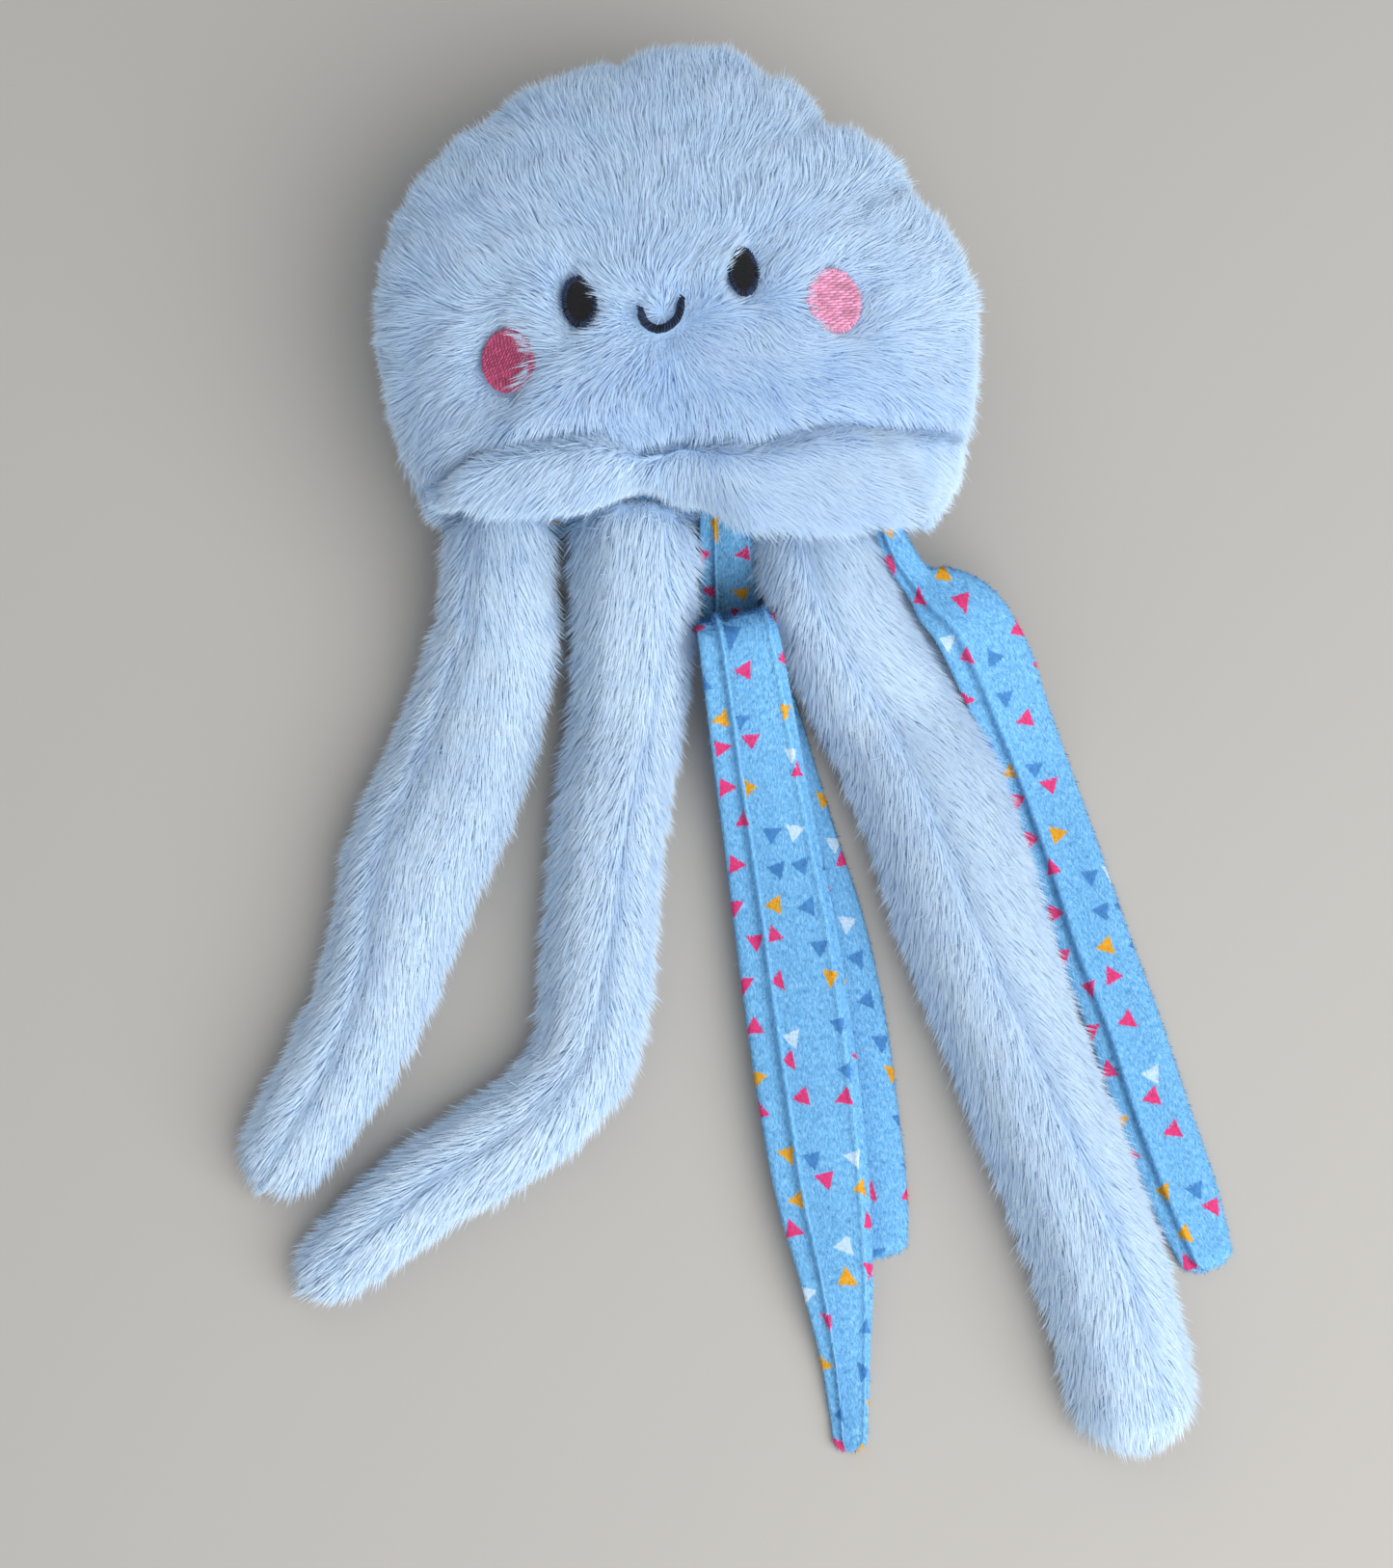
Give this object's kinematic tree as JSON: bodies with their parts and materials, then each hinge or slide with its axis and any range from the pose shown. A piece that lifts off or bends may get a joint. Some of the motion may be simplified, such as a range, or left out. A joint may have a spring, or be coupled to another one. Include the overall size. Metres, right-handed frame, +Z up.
{
  "type": "plush jellyfish",
  "caption": "Soft toy jellyfish with a round flattened fur head, stitched face, fur tentacles and flat print tentacles, lying on its back.",
  "frame": {"origin": "middle of the toy's box in plan, on the floor that it lies on", "axes": "+Z up out of the face, +Y towards the top of the head and away from the tentacle tips, +X to the viewer's right when looking at the face"},
  "size_m": [0.4068, 0.597, 0.105],
  "materials": {
    "blue_fur": "long soft pile",
    "print_velour": "short pile with scattered small triangles",
    "black_thread": "satin stitch",
    "dark_pink_thread": "satin stitch",
    "pale_pink_thread": "satin stitch",
    "polyester_filling": "matt"
  },
  "bodies": {
    "root": {"head_front_panel": "blue_fur", "head_back_panel": "blue_fur", "underside_panel": "print_velour", "head_filling": "polyester_filling", "left_eye": "black_thread", "right_eye": "black_thread", "smile": "black_thread", "left_cheek": "dark_pink_thread", "right_cheek": "pale_pink_thread", "fur_tentacle_left": "blue_fur", "fur_tentacle_middle": "blue_fur", "fur_tentacle_right": "blue_fur", "print_tentacle_front": "print_velour", "print_tentacle_behind": "print_velour", "print_tentacle_right": "print_velour"}
  },
  "joints": []
}
